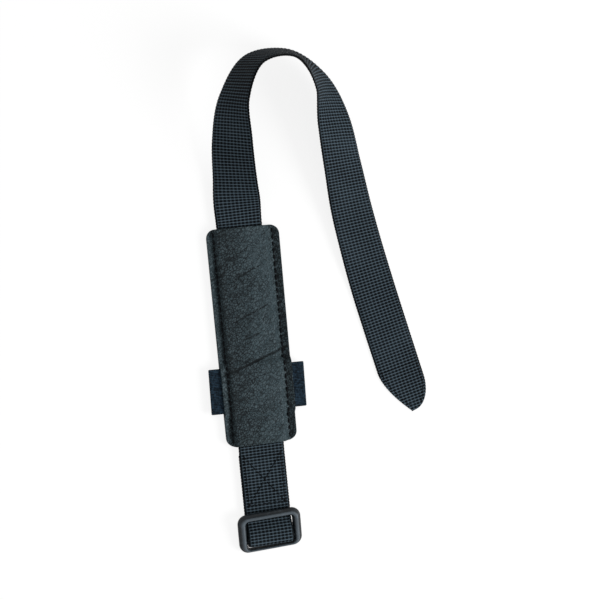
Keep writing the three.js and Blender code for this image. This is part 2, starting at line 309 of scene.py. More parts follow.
def webbingTree():
    # a closed tube of rows along the route, flattened to a strap, with ribs and pits pressed into both faces
    tree, given = startTree("Woven webbing", {
        "Rows": ("Int", 900), "Columns": ("Int", 72), "Length": ("Float", 500.0), "Thickness": ("Float", 1.4),
        "Rib Pitch": ("Float", 1.62), "Pit Pitch": ("Float", 2.08), "Pit Columns": ("Float", 11.0),
        "Rib Depth": ("Float", 0.2), "Pit Depth": ("Float", 0.2), "Seed": ("Int", 3),
        "Material": ("Material", None),
    })
    add = partial(addNode, tree)
    route = add("GeometryNodeMeshToCurve", {"Mesh": given["Geometry"]}).outputs["Curve"]
    grid = add("GeometryNodeMeshGrid", {"Size X": 1.0, "Size Y": 1.0,
            "Vertices X": add("Math", (given["Columns"], 1.0), operation="ADD"),
            "Vertices Y": given["Rows"]})
    place = add("SeparateXYZ", (add("GeometryNodeInputPosition"),)).outputs
    turn = add("Math", (place["X"], 0.5), operation="ADD")
    factor = add("Math", (place["Y"], 0.5), operation="ADD")
    # across runs 1 to -1 over the face and back to 1 over the underside
    across = add("Math", (add("Math",
                (add("Math", (add("Math", (turn, 0.5), operation="SUBTRACT"),), operation="ABSOLUTE"), 4.0),
                operation="MULTIPLY"), 1.0), operation="SUBTRACT")
    edge = add("FloatCurve", {"Value": add("Math", (across,), operation="ABSOLUTE")})
    points = edge.mapping.curves[0].points
    points[0].location, points[1].location = (0, 0), (1, 1)
    for x, y in ((0.8334, 0.8334), (0.8889, 0.93), (0.9444, 0.982)):
        points.new(x, y)
    for point in points:
        point.handle_type = "VECTOR"
    edge.mapping.update()
    acrossShare = add("Math", (edge, add("Math", (across,), operation="SIGN")), operation="MULTIPLY")
    side = add("Math", (add("Math", (0.5, turn), operation="SUBTRACT"),), operation="SIGN")

    read = {}
    for name in ("innerHalf", "outerHalf", "ribSlant"):
        value = add("GeometryNodeInputNamedAttribute", {"Name": name}, data_type="FLOAT")
        read[name] = add("GeometryNodeSampleCurve", {"Curves": route, "Value": value, "Factor": factor},
            data_type="FLOAT", mode="FACTOR")
    half = add("GeometryNodeSwitch", {
            "Switch": add("FunctionNodeCompare", (across, 0.0), operation="GREATER_THAN"),
            "False": read["outerHalf"], "True": read["innerHalf"]}, input_type="FLOAT")
    x = add("Math", (acrossShare, half), operation="MULTIPLY")
    y = add("Math", (factor, given["Length"]), operation="MULTIPLY")
    # ribs: low between two ribs, high over each; pits: low at each column where the ribs meet
    ribFar = add("Math", (add("Math", (y, given["Rib Pitch"]), operation="DIVIDE"), 0.5),
        operation="PINGPONG")
    valley = add("MapRange",
        {"Value": ribFar, "From Min": 0.0, "From Max": 0.34, "To Min": 1.0, "To Max": 0.0})
    columnFar = add("Math", (add("Math", (x, given["Pit Pitch"]), operation="DIVIDE"), 0.5),
        operation="PINGPONG")
    column = add("MapRange",
        {"Value": columnFar, "From Min": 0.0, "From Max": 0.34, "To Min": 1.0, "To Max": 0.0})
    inside = add("Math", (add("Math", (x,), operation="ABSOLUTE"), add("Math",
                (given["Pit Pitch"], add("Math", (given["Pit Columns"], 2.0), operation="DIVIDE")),
                operation="MULTIPLY")), operation="LESS_THAN")
    pit = add("Math", (add("Math", (valley, column), operation="MULTIPLY"), inside), operation="MULTIPLY")
    uneven = add("FunctionNodeRandomValue", {"Min": 0.8, "Max": 1.2, "Seed": given["Seed"]},
        data_type="FLOAT").outputs[1]
    sink = add("Math", (add("Math", (add("Math", (valley, given["Rib Depth"]), operation="MULTIPLY"),
                    add("Math", (pit, given["Pit Depth"]), operation="MULTIPLY")), operation="ADD"),
            uneven), operation="MULTIPLY")
    # rounded edge and ends
    sideLow = add("Math", (add("Math", (1.0, add("Math",
                        (add("Math", (acrossShare,), operation="ABSOLUTE"), 14.0), operation="POWER")),
                operation="SUBTRACT"), 0.5), operation="POWER")
    endLeft = add("Math", (
            add("Math", (factor, add("Math", (1.0, factor), operation="SUBTRACT")), operation="MINIMUM"),
            given["Length"]), operation="MULTIPLY")
    endLow = add("Math",
        (add("Math", (add("Math", (endLeft, 1.0), operation="DIVIDE"), 1.0), operation="MINIMUM"), 0.5),
        operation="POWER")
    low = add("Math", (sideLow, endLow), operation="MULTIPLY")
    height = add("Math", (add("Math", (add("Math", (given["Thickness"], 2.0), operation="DIVIDE"), sink),
                operation="SUBTRACT"), add("Math", (low, side), operation="MULTIPLY")),
        operation="MULTIPLY")
    # scalloped edge: the weft turns round at each rib
    scallop = add("Math", (1.0, add("Math", (valley, add("Math", (0.012, add("Math",
                                (add("Math", (across,), operation="ABSOLUTE"), 8.0), operation="POWER")),
                        operation="MULTIPLY")), operation="MULTIPLY")), operation="SUBTRACT")
    xOut = add("Math", (x, scallop), operation="MULTIPLY")
    # a slanted rib meets the route further along on one side than on the other
    slanted = add("Math", (factor, add("Math",
                (add("Math", (read["ribSlant"], x), operation="MULTIPLY"), given["Length"]),
                operation="DIVIDE")), operation="ADD")
    for name in ("centre", "acrossWay", "upWay"):
        value = add("GeometryNodeInputNamedAttribute", {"Name": name}, data_type="FLOAT_VECTOR")
        read[name] = add("GeometryNodeSampleCurve", {"Curves": route, "Value": value, "Factor": slanted},
            data_type="FLOAT_VECTOR", mode="FACTOR")
    spot = read["centre"]
    for name, distance in (("acrossWay", xOut), ("upWay", height)):
        way = add("VectorMath", (read[name],), operation="NORMALIZE")
        spot = add("VectorMath", (spot, add("VectorMath",
                    {0: way, "Scale": add("Math", (distance, mm), operation="MULTIPLY")},
                    operation="SCALE")), operation="ADD")
    weave = add("CombineXYZ", {"X": x, "Y": y, "Z": side})
    kept = add("GeometryNodeStoreNamedAttribute",
        {"Geometry": grid.outputs["Mesh"], "Name": "weave", "Value": weave}, data_type="FLOAT_VECTOR",
        domain="POINT")
    kept = add("GeometryNodeSetPosition", {"Geometry": kept, "Position": spot})
    kept = add("GeometryNodeMergeByDistance", {"Geometry": kept, "Distance": 1e-06})
    kept = add("GeometryNodeSetShadeSmooth", {"Geometry": kept})
    kept = add("GeometryNodeRealizeInstances", {"Geometry": kept})
    kept = add("GeometryNodeSetMaterial", {"Geometry": kept, "Material": given["Material"]})
    add("NodeGroupOutput", {"Geometry": kept})
    return tree


def wovenNylon():
    # woven nylon: pale rib crowns, painted shade in the valleys and near-black pits, fine fibre streaks
    # across the strap
    material, add = startMaterial("Woven nylon webbing")
    spot = add("Attribute", attribute_name="weave")
    part = add("SeparateXYZ", (spot.outputs["Vector"],)).outputs
    rib = add("Math", (add("Math", (part["Y"], webbing["ribPitch"]), operation="DIVIDE"), 0.5),
        operation="PINGPONG")
    column = add("Math", (add("Math", (part["X"], webbing["pitPitch"]), operation="DIVIDE"), 0.5),
        operation="PINGPONG")
    # painted shade: the rib valleys, the pits and the notches between pit columns darken towards near black
    valley = add("MapRange", (rib, 0.14, 0.42, 1.0, 0.0), interpolation_type="SMOOTHSTEP")
    pitColumn = add("MapRange", (column, 0.26, 0.44, 1.0, 0.0), interpolation_type="SMOOTHSTEP")
    valleyWide = add("MapRange", (rib, 0.28, 0.5, 1.0, 0.0), interpolation_type="SMOOTHSTEP")
    inside = add("MapRange", (add("Math", (part["X"],), operation="ABSOLUTE"), 11.3, 11.9, 1.0, 0.0),
        interpolation_type="SMOOTHSTEP")
    pit = add("Math", (add("Math", (valleyWide, pitColumn), operation="MULTIPLY"), inside),
        operation="MULTIPLY")
    dark = add("Math", (pit, add("Math", (valley, 0.78), operation="MULTIPLY")), operation="MAXIMUM")
    notch = add("Math", (add("MapRange", (column, 0.38, 0.48), interpolation_type="SMOOTHSTEP"), 0.2),
        operation="MULTIPLY")
    dark = add("Math", (dark, notch), operation="MAXIMUM")
    selvage = add("MapRange", (add("Math", (part["X"],), operation="ABSOLUTE"), 11.2, 11.7),
        interpolation_type="SMOOTHSTEP")
    dark = add("Math", (dark, add("Math", (selvage, 0.97), operation="MULTIPLY")), operation="MAXIMUM")
    # the top of the bend is painted darker, to imitate the photo's light
    bendTopShade = add("Math", (
            add("MapRange", (part["Y"], 276.0, 318.0, 0.0, 0.5), interpolation_type="SMOOTHSTEP"),
            add("MapRange", (part["Y"], 336.0, 358.0, 0.0, 0.5), interpolation_type="SMOOTHSTEP")),
        operation="SUBTRACT")
    dark = add("Math", (dark, bendTopShade), operation="ADD")
    stretch = add("Mapping", {"Vector": spot.outputs["Vector"], "Scale": (0.55, 4.2, 1.0)})
    fibre = add("TexNoise", {"Vector": stretch, "Scale": 1.3, "Detail": 3.0, "Roughness": 0.6})
    patch = add("TexNoise", {"Vector": spot.outputs["Vector"], "Scale": 0.06, "Detail": 1.0})
    for noise, strength in ((fibre, 0.5), (patch, 0.25)):
        swing = add("Math", (noise, 0.5), operation="SUBTRACT")
        swing = add("Math", (swing, strength), operation="MULTIPLY")
        dark = add("Math", (dark, swing), operation="ADD")
    mix = add("Mix", {"Factor": dark, 6: colour(webbing["shadeLight"]), 7: colour(webbing["shadeDark"])},
        data_type="RGBA", clamp_factor=True).outputs[2]
    raised = add("Math", (
            add("Math", (add("Math", (1.0, dark), operation="SUBTRACT"), 0.8), operation="MULTIPLY"),
            add("Math", (fibre, 0.4), operation="MULTIPLY")), operation="ADD")
    bump = add("Bump", {"Height": raised, "Strength": 0.7, "Distance": 0.0003})
    shader = add("BsdfPrincipled", {"Base Color": mix, "Roughness": webbing["roughness"],
            "Specular IOR Level": webbing["specular"], "Normal": bump})
    add("OutputMaterial", {"Surface": shader})
    return material


webbingMaterial = wovenNylon()


def addWebbing():
    at, centre, across, up, inner, outer = webbingFrames(webbing["routeStep"])
    count = len(at)
    route = makeObject("webbingRoute", centre, edges=[(i, i + 1) for i in range(count - 1)])
    setAttribute(route, "centre", "FLOAT_VECTOR", toTable(centre))
    setAttribute(route, "acrossWay", "FLOAT_VECTOR", turnToTable(across))
    setAttribute(route, "upWay", "FLOAT_VECTOR", turnToTable(up))
    setAttribute(route, "innerHalf", "FLOAT", inner)
    setAttribute(route, "outerHalf", "FLOAT", outer)
    setAttribute(route, "ribSlant", "FLOAT", np.interp(at, *zip(*webbing["ribSlant"])))
    rows = round(at[-1] / webbing["ribPitch"] * webbing["stepsPerRib"]) + 1
    length = float((rows - 1) * webbing["ribPitch"] / webbing["stepsPerRib"])
    piece = bakeNodes(route, webbingTree(), {
        "Rows": rows, "Columns": 2 * webbing["stepsAcross"], "Length": length,
        "Thickness": webbing["thickness"], "Pit Columns": float(webbing["pitColumns"]),
        "Rib Pitch": webbing["ribPitch"], "Pit Pitch": webbing["pitPitch"],
        "Rib Depth": webbing["ribDepth"], "Pit Depth": webbing["pitDepth"],
        "Seed": 3, "Material": webbingMaterial,
    }, "webbing")
    pointOutwards(piece)
    finishPiece(piece, webbingMaterial, "webbing", "webbing_strap")
    print("webbing woven:", round(at[-1]), "mm long,", len(piece.data.polygons), "faces")


addWebbing()

# Leather sleeve: two panels of grained leather with trimmed edges, sewn along the long sides
sleeve = {
    "length": 116.0,
    "widthTop": 39.5,
    "widthBottom": 38.5,
    "offset": 1.65,
    "turn": -0.35,
    "corner": 5.0,
    "seamInset": 3.4,
    "flangeLift": 0.8,
    "grid": 0.6,
    "specular": 0.16,
    "shade": "#3a4a50",
    "shadeValley": "#0a1215",
    "shadeCrown": "#505f65",
    "grain": 1.05,
    # each crease: place down the panel, slope, reach and depth
    "creases": ((-12, 0.46, 7, 0.10), (-24, 0.42, 9, 0.16), (-39, 0.40, 8, 0.10), (-46, 0.40, 12, 0.18),
                (-58, 0.35, 8, 0.16), (-71.5, 0.34, 18, 0.34), (-80, 0.30, 10, 0.12)),
}
band = {
    "width": 24.0,
    "thickness": bandThick,
    "centreY": -86.0,
    "turn": -1.5,
    "tabLeft": 24.6,
    "tabRight": 27.2,
    "ribPitch": 0.9,
    "roughness": 0.85,
    "specular": 0.1,
    "shade": "#344a5c",
    "shadeDark": "#03070b",
}


def flange(x, full):
    return sleeve["flangeLift"] * smooth((np.abs(x) - (full - sleeve["seamInset"])) / sleeve["seamInset"])


def overBand(y):
    return 1 - smooth((np.abs(y - band["centreY"]) - band["width"] / 2 - 0.6) / 3)


def acrossStrap(x, y):
    return x + sleeve["offset"] - y * math.sin(math.radians(sleeve["turn"]))


def crownShare(x):
    return 1 - smooth((np.abs(x) - webbing["width"] / 2 - 0.4) / 2.3)


def sleeveHalf(y):
    return (sleeve["widthTop"] + (sleeve["widthBottom"] - sleeve["widthTop"]) * -y / sleeve["length"]) / 2


def backHeight(x, y):
    return flange(x, sleeveHalf(y))


def frontHeight(x, y):
    over = overBand(y)
    seam = leatherThick + lay["gap"] + over * (2 * bandThick + 2.4 * lay["gap"])
    crown = webTop + lay["gap"] + over * (bandThick + 1.4 * lay["gap"])
    return seam + (crown - seam) * crownShare(acrossStrap(x, y)) + flange(x, sleeveHalf(y))


def placeSleeve(points):
    p = np.asarray(points, float).reshape(-1, 3)
    c, s = math.cos(math.radians(sleeve["turn"])), math.sin(math.radians(sleeve["turn"]))
    return np.column_stack([p[:, 0] * c - p[:, 1] * s + sleeve["offset"], p[:, 0] * s + p[:, 1] * c, p[:, 2]])


def leatherPanel(name, heightAt, topRelief):
    # a grid that follows the rounded outline, given its thickness and a rounded edge
    rows = int(sleeve["length"] / sleeve["grid"])
    columns = int(sleeve["widthTop"] / sleeve["grid"])
    e = sleeve["corner"]
    # rows crowd together at the rounded ends
    y = -np.linspace(0, 1, rows + 1) * sleeve["length"]
    crowded = e * (1 - np.cos(np.linspace(0, math.pi / 2, 10)))
    middle = y[(y < -e - 0.3) & (y > e - sleeve["length"] + 0.3)]
    y = np.concatenate([-crowded, middle, crowded[::-1] - sleeve["length"]])
    points, low = [], []
    edge = 0.3
    for v in y:
        d = min(-v, sleeve["length"] + v)
        q = max(0.0, e - d)
        half = sleeveHalf(v) - (e - math.sqrt(max(e * e - q * q, 0)))
        share = np.sin(np.linspace(-1, 1, columns + 1) * math.pi / 2 * 0.86) / math.sin(math.pi / 2 * 0.86)
        x = half * share
        z = heightAt(x, np.full_like(x, v))
        near = np.minimum(half - np.abs(x), d)
        rounding = edge * (1 - np.sqrt(np.clip(1 - (1 - np.clip(near / edge, 0, 1)) ** 2, 0, 1)))
        relief = topRelief(x, v) * np.clip(near / 1.5, 0, 1)
        points.append(np.column_stack([x, np.full_like(x, v), z + leatherThick - rounding + relief]))
        low.append(np.column_stack([x, np.full_like(x, v), z + rounding]))
    n, m = len(y), columns + 1
    top = np.concatenate(points)
    under = np.concatenate(low)
    faces = []
    for i in range(n - 1):
        for j in range(m - 1):
            a = i * m + j
            faces.append((a, a + m, a + m + 1, a + 1))
            faces.append((n * m + a, n * m + a + 1, n * m + a + m + 1, n * m + a + m))
    rim = ([(0, j) for j in range(m)] + [(i, m - 1) for i in range(1, n)]
           + [(n - 1, j) for j in range(m - 2, -1, -1)] + [(i, 0) for i in range(n - 2, 0, -1)])
    loop = [i * m + j for i, j in rim]
    for a, b in zip(loop, loop[1:] + loop[:1]):
        faces.append((a, b, n * m + b, n * m + a))
    piece = makeObject(name, placeSleeve(np.concatenate([top, under])), faces)
    # across, along and crease depth, for the material
    marks = np.column_stack([top[:, 0], top[:, 1], creaseDepth(top[:, 0], top[:, 1])])
    setAttribute(piece, "panel", "FLOAT_VECTOR", np.concatenate([marks, marks * [1, 1, 0]]))
    return pointOutwards(piece)


def stitchSpots(side):
    # seam row, an even stitch pitch that starts and ends short of the panel's ends
    count = round((sleeve["length"] - 2 * stitch["seamEnd"]) / stitch["seamPitch"])
    y = np.linspace(-stitch["seamEnd"], -sleeve["length"] + stitch["seamEnd"], count + 1)
    return side * (sleeveHalf(y) - stitch["seamIn"]), y


stitch = {
    "seamIn": 3.7,
    "seamEnd": 3.2,
    "seamPitch": 3.5,
    "thread": 0.5,
    "roughness": 0.6,
    "specular": 0.08,
    "shade": "#030507",
    "shadePly": "#0b0e12",
    "boxPitch": 2.6,
    "boxTop": -122.5,
    "boxBottom": -148.0,
    "boxHalf": 9.8,
}


def creaseDepth(x, v):
    # fine folds that cross the panel and die out before its seams
    depth = np.zeros_like(x)
    for at, slope, reach, deep in sleeve["creases"]:
        away = v - (at + slope * x)
        depth += deep * np.exp(-(away / 0.5) ** 2) * np.exp(-(x / reach) ** 4)
    return depth


def frontRelief(x, v):
    # a trough under each seam, deeper at each needle hole, and shallow creases that cross the panel
    relief = np.zeros_like(x)
    for side in (-1, 1):
        line, holes = stitchSpots(side)
        seamX = side * (sleeveHalf(v) - stitch["seamIn"])
        trough = np.exp(-((x - seamX) / 0.95) ** 2)
        hole = math.exp(-(np.min(np.abs(holes - v)) / 0.7) ** 2)
        relief -= trough * (0.12 + 0.34 * hole)
        puff = np.exp(-((x - seamX + side * 2.0) / 1.3) ** 2)
        relief += puff * 0.16 * (1 - hole)
    # broad unevenness of a hand-cut piece, and slanting creases
    relief += 0.10 * np.sin(v * 0.19 + 0.5) * np.cos(x * 0.17) + 0.06 * np.sin(v * 0.43 + x * 0.3)
    return relief - creaseDepth(x, v)


def grainedLeather():
    # embossed, coated leather: dull pebbles of about 1 by 2 mm with dark valleys, and slanting creases
    material, add = startMaterial("Embossed grain leather")
    where = add("TexCoord").outputs["Object"]
    slant = add("Mapping",
        {"Vector": where, "Rotation": (0, 0, math.radians(-52)), "Scale": (1000, 1000, 1000)})
    warp = add("TexNoise", {"Vector": slant, "Scale": 0.35, "Detail": 2.0}).outputs["Color"]
    warped = add("VectorMath", (slant, add("VectorMath", {0: warp, "Scale": 1.6}, operation="SCALE")),
        operation="ADD")
    drawn = add("Mapping", {"Vector": warped, "Scale": (0.52, 1.0, 1.0)})
    pebble = add("TexVoronoi", {"Vector": drawn, "Scale": 1 / sleeve["grain"], "Randomness": 0.95},
        feature="DISTANCE_TO_EDGE").outputs["Distance"]
    valley = add("MapRange", (pebble, 0.02, 0.17, 1.0, 0.0), interpolation_type="SMOOTHSTEP")
    tint = add("TexVoronoi", {"Vector": drawn, "Scale": 1 / sleeve["grain"], "Randomness": 0.95},
        feature="F1").outputs["Color"]
    tone = add("SeparateColor", (tint,))
    creaseMap = add("Mapping",
        {"Vector": where, "Rotation": (0, 0, math.radians(-28)), "Scale": (130, 700, 700)})
    crease = add("TexNoise", {"Vector": creaseMap, "Scale": 0.42, "Detail": 3.0})
    creaseLine = add("MapRange", (
            add("Math", (add("Math", (crease, 0.5), operation="SUBTRACT"),), operation="ABSOLUTE"), 0.0,
            0.028, 1.0, 0.0), interpolation_type="SMOOTHSTEP")
    streakMap = add("Mapping", {"Vector": slant, "Scale": (0.1, 0.75, 1.0)})
    streak = add("TexNoise", {"Vector": streakMap, "Scale": 0.9, "Detail": 2.0})
    # painted to imitate the photo's light: dark left side, paler left border, near black right border
    panel = add("Attribute", attribute_name="panel").outputs["Vector"]
    panel = add("SeparateXYZ", (panel,)).outputs
    shadeSide = add("Math", (
            add("MapRange", (panel["X"], -15.5, 9.0, 0.4, -0.12), interpolation_type="SMOOTHSTEP"),
            add("MapRange", (panel["X"], 14.5, 16.5, 0.0, 0.6), interpolation_type="SMOOTHSTEP")),
        operation="ADD")
    shadeSide = add("Math", (shadeSide,
            add("MapRange", (panel["X"], -17.6, -16.4, -0.4, 0.0), interpolation_type="SMOOTHSTEP")),
        operation="ADD")
    # painted shade in the creases: darker where the panel's creases run deepest
    folds = add("MapRange", (panel["Z"], 0.03, 0.16, 0.0, 0.8), interpolation_type="SMOOTHSTEP")
    fine = add("TexNoise", {"Vector": slant, "Scale": 3.2, "Detail": 3.0})
    broad = add("TexNoise", {"Vector": slant, "Scale": 0.07, "Detail": 2.0})
    low = add("Math", (add("Math", (valley, 0.82), operation="MULTIPLY"),
            add("Math", (creaseLine, 0.6), operation="MULTIPLY")), operation="MAXIMUM")
    for noise, strength in ((streak, 0.9), (fine, 0.5), (broad, 0.5)):
        swing = add("Math", (noise, 0.5), operation="SUBTRACT")
        swing = add("Math", (swing, strength), operation="MULTIPLY")
        low = add("Math", (low, swing), operation="ADD")
    low = add("Math", (low, add("Math", (shadeSide, folds), operation="ADD")), operation="ADD")
    crown = add("Math", (add("Math", (tone, 0.8), operation="MULTIPLY"),
            add("Math", (add("Math", (fine, 0.5), operation="SUBTRACT"), 0.8), operation="MULTIPLY")),
        operation="ADD")
    base = add("Mix", {"Factor": crown, 6: colour(sleeve["shade"]), 7: colour(sleeve["shadeCrown"])},
        data_type="RGBA", clamp_factor=True).outputs[2]
    mixed = add("Mix", {"Factor": low, 6: base, 7: colour(sleeve["shadeValley"])}, data_type="RGBA",
        clamp_factor=True).outputs[2]
    roughness = add("MapRange", (low, 0.0, 1.0, 0.46, 0.7), interpolation_type="SMOOTHSTEP")
    height = add("Math", (add("Math", (tone, 0.3), operation="MULTIPLY"), low), operation="SUBTRACT")
    bump = add("Bump", {"Height": height, "Strength": 0.6, "Distance": 0.00035})
    shader = add("BsdfPrincipled", {"Base Color": mixed, "Roughness": roughness,
            "Specular IOR Level": sleeve["specular"], "Normal": bump})
    add("OutputMaterial", {"Surface": shader})
    return material


leatherMaterial = grainedLeather()


def addSleeve():
    front = leatherPanel("sleeve_front_panel", frontHeight, frontRelief)
    back = leatherPanel("sleeve_back_panel", backHeight, lambda x, v: np.zeros_like(x))
    finishPiece(front, leatherMaterial, "leather", "sleeve_front")
    finishPiece(back, leatherMaterial, "leather", "sleeve_back")
    print("sleeve panels:", len(front.data.polygons), "and", len(back.data.polygons), "faces")


addSleeve()


# Knitted elastic ring, seen at both sides of the sleeve as flattened loops
def addBand():
    low = leatherThick + lay["gap"]
    shut = low + bandThick + lay["gap"]
    bandTop = webTop + lay["gap"]
    half = sleeveHalf(band["centreY"])

    def lift(x):
        return flange(x - acrossStrap(0, band["centreY"]), half)

    def upper(x):
        return shut + (bandTop - shut) * crownShare(x) + lift(x)

    left, right = -band["tabLeft"] + bandThick, band["tabRight"] - bandThick
    xs = np.linspace(left, right, 110)
    outer, inner = [], []
    r = bandThick + lay["gap"] / 2

    def turn(x, side):
        middle = low + float(lift(np.array(x))) + r
        for k in range(1, 8):
            a = (-0.5 + k / 8) * math.pi
            for points, reach in ((outer, r), (inner, lay["gap"] / 2)):
                points.append((x + side * math.cos(a) * reach, middle + side * math.sin(a) * reach))

    for x, z in zip(xs, lift(xs)):
        outer.append((x, low + z))
        inner.append((x, low + z + bandThick))
    turn(right, 1)
    for x, z in zip(xs[::-1], upper(xs[::-1])):
        outer.append((x, z + bandThick))
        inner.append((x, z))
    turn(left, -1)
    outer, inner = np.array(outer), np.array(inner)
    m = len(outer)
    steps = round(band["width"] / band["ribPitch"]) * 3
    y = np.linspace(-band["width"] / 2, band["width"] / 2, steps + 1)
    points, faces = [], []
    for k, v in enumerate(y):
        # shallow ribs run round the ring, and the knitted edges are rounded
        near = band["width"] / 2 - abs(v)
        edge = 0.5 * (1 - math.sqrt(max(0.0, 1 - max(0.0, 1 - near / 0.45) ** 2)))
        dip = 0.07 if k % 3 == 0 else 0.0
        share = edge + dip
        a = outer + (inner - outer) * share
        b = inner + (outer - inner) * edge * 0.96
        points.append(np.column_stack([a[:, 0], np.full(m, v), a[:, 1]]))
        points.append(np.column_stack([b[:, 0], np.full(m, v), b[:, 1]]))
    for k in range(len(y) - 1):
        o, i = 2 * k * m, (2 * k + 1) * m
        for j in range(m):
            n = (j + 1) % m
            faces.append((o + j, o + n, o + 2 * m + n, o + 2 * m + j))
            faces.append((i + n, i + j, i + 2 * m + j, i + 2 * m + n))
    for o, i in ((0, m), (2 * (len(y) - 1) * m, (2 * len(y) - 1) * m)):
        for j in range(m):
            n = (j + 1) % m
            faces.append((o + n, o + j, i + j, i + n))
    p = np.concatenate(points)
    c, s = math.cos(math.radians(band["turn"])), math.sin(math.radians(band["turn"]))
    turnedY = p[:, 0] * s + p[:, 1] * c + band["centreY"]
    placed = np.column_stack([p[:, 0] * c - p[:, 1] * s, turnedY, p[:, 2]])
    piece = makeObject("elastic_ring", placed, faces)
    setAttribute(piece, "weave", "FLOAT_VECTOR", p)
    pointOutwards(piece)
    finishPiece(piece, knittedElastic(), "elastic", "elastic_band")
    print("elastic ring:", len(piece.data.polygons), "faces")


def knittedElastic():
    # knitted elastic tape: soft and dull, with fine ribs round the ring and tiny loops across them
    material, add = startMaterial("Knitted elastic tape")
    spot = add("Attribute", attribute_name="weave").outputs["Vector"]
    part = add("SeparateXYZ", (spot,)).outputs
    rib = add("Math", (add("Math", (part["Y"], band["ribPitch"]), operation="DIVIDE"), 0.5),
        operation="PINGPONG")
    loop = add("Math", (add("Math", (part["X"], 0.7), operation="DIVIDE"), 0.5), operation="PINGPONG")
    grain = add("TexNoise", {"Vector": spot, "Scale": 0.9, "Detail": 3.0})
    pale = add("Math", (add("Math", (rib, 0.9), operation="MULTIPLY"), add("Math",
                (add("Math", (loop, 0.7), operation="MULTIPLY"), add("Math",
                        (add("Math", (grain, 0.55), operation="SUBTRACT"), 1.8), operation="MULTIPLY")),
                operation="ADD")), operation="ADD")
    mix = add("Mix", {"Factor": pale, 6: colour(band["shadeDark"]), 7: colour(band["shade"])},
        data_type="RGBA", clamp_factor=True).outputs[2]
    bump = add("Bump", {"Height": pale, "Strength": 0.4, "Distance": 0.0002})
    shader = add("BsdfPrincipled", {"Base Color": mix, "Roughness": band["roughness"],
            "Specular IOR Level": band["specular"], "Normal": bump})
    add("OutputMaterial", {"Surface": shader})
    return material


addBand()


# Moulded nylon slide buckle: a rounded frame with a raised rim, and the bar that the strap is sewn round
def roundedOutline(x0, y0, x1, y1, r, perCorner):
    points = []
    centres = ((x1 - r, y1 - r), (x0 + r, y1 - r), (x0 + r, y0 + r), (x1 - r, y0 + r))
    for corner, (cx, cy) in enumerate(centres):
        for k in range(perCorner):
            a = math.radians(90 * corner + 90 * k / (perCorner - 1))
            points.append((cx + r * math.cos(a), cy + r * math.sin(a)))
    return np.array(points)


def placeBuckle(points):
    # tilts the buckle up at its low end, swivels it and puts it on the strap
    p = np.asarray(points, float).reshape(-1, 3)
    tilt, swivel = math.radians(buckle["tilt"]), math.radians(buckle["swivel"])
    lowZ = frontMid + webbing["thickness"] / 2 + lay["gap"] + buckle["topBar"] * math.sin(tilt)
    y = p[:, 1] * math.cos(tilt) - p[:, 2] * math.sin(tilt) + buckle["barDown"] * math.cos(tilt)
    z = p[:, 1] * math.sin(tilt) + p[:, 2] * math.cos(tilt) + lowZ
    x = p[:, 0] * math.cos(swivel) - y * math.sin(swivel) + buckle["offset"]
    y = p[:, 0] * math.sin(swivel) + y * math.cos(swivel) + buckle["topY"]
    return np.column_stack([x, y - buckle["barDown"] * math.cos(tilt), z])


def addBuckle():
    w, h, d = buckle["width"] / 2, buckle["height"], buckle["depth"]
    per = 12
    outer = roundedOutline(-w, -h, w, 0, buckle["corner"], per)
    rail = w - buckle["sideRail"]
    inner = roundedOutline(-rail, buckle["lowBar"] - h, rail, -buckle["topBar"], buckle["windowCorner"], per)
    # share of the way in, height share: outer wall, raised rim, inner wall with its ledge, underside
    section = [(0.05, 0.03), (0.0, 0.12), (0.0, 0.42), (0.05, 0.53), (0.2, 0.6), (0.3, 0.66), (0.36, 0.84),
               (0.46, 0.96), (0.6, 1.0), (0.76, 0.96), (0.88, 0.84), (0.96, 0.66), (1.0, 0.46), (1.08, 0.36),
               (1.1, 0.12), (1.0, 0.02), (0.88, 0.0), (0.12, 0.0)]
    rings = [np.column_stack([outer + (inner - outer) * s, np.full(len(outer), d * t)]) for s, t in section]
    n, m = len(outer), len(section)
    points = np.concatenate(rings)
    faces = []
    for a in range(m):
        b = (a + 1) % m
        for j in range(n):
            k = (j + 1) % n
            faces.append((a * n + j, a * n + k, b * n + k, b * n + j))
    frameOnly = makeObject("slide_buckle_frame", placeBuckle(points), faces)
    # the crown of the rim, which the material lightens as a painted highlight
    setAttribute(frameOnly, "bead", "FLOAT", np.repeat([smooth((t - 0.78) / 0.16) for s, t in section], n))
    pointOutwards(frameOnly)
    finer = frameOnly.modifiers.new("Rounding", "SUBSURF")
    finer.levels = finer.render_levels = 1
    # the bar, round, between the side rails
    tilt = math.radians(buckle["tilt"])
    lowZ = frontMid + webbing["thickness"] / 2 + lay["gap"] + buckle["topBar"] * math.sin(tilt)
    barUp = (barZ - lowZ + buckle["barDown"] * math.sin(tilt)) / math.cos(tilt)
    reach = rail + 1.2
    barPoints, barFaces = [], []
    sides = 24
    for x in (-reach, reach):
        for k in range(sides):
            a = 2 * math.pi * k / sides
            y, z = math.cos(a) * buckle["barRadius"], math.sin(a) * buckle["barRadius"]
            barPoints.append((x, y - buckle["barDown"], barUp + z))
    for k in range(sides):
        j = (k + 1) % sides
        barFaces.append((k, j, sides + j, sides + k))
    barFaces.append(tuple(range(sides)))
    barFaces.append(tuple(range(2 * sides - 1, sides - 1, -1)))
    bar = pointOutwards(makeObject("slide_buckle_bar", placeBuckle(barPoints), barFaces))
    plastic = mouldedNylon()
    finishPiece(frameOnly, plastic, "buckle", "slide_buckle")
    finishPiece(bar, plastic, "buckle")
    print("buckle made")


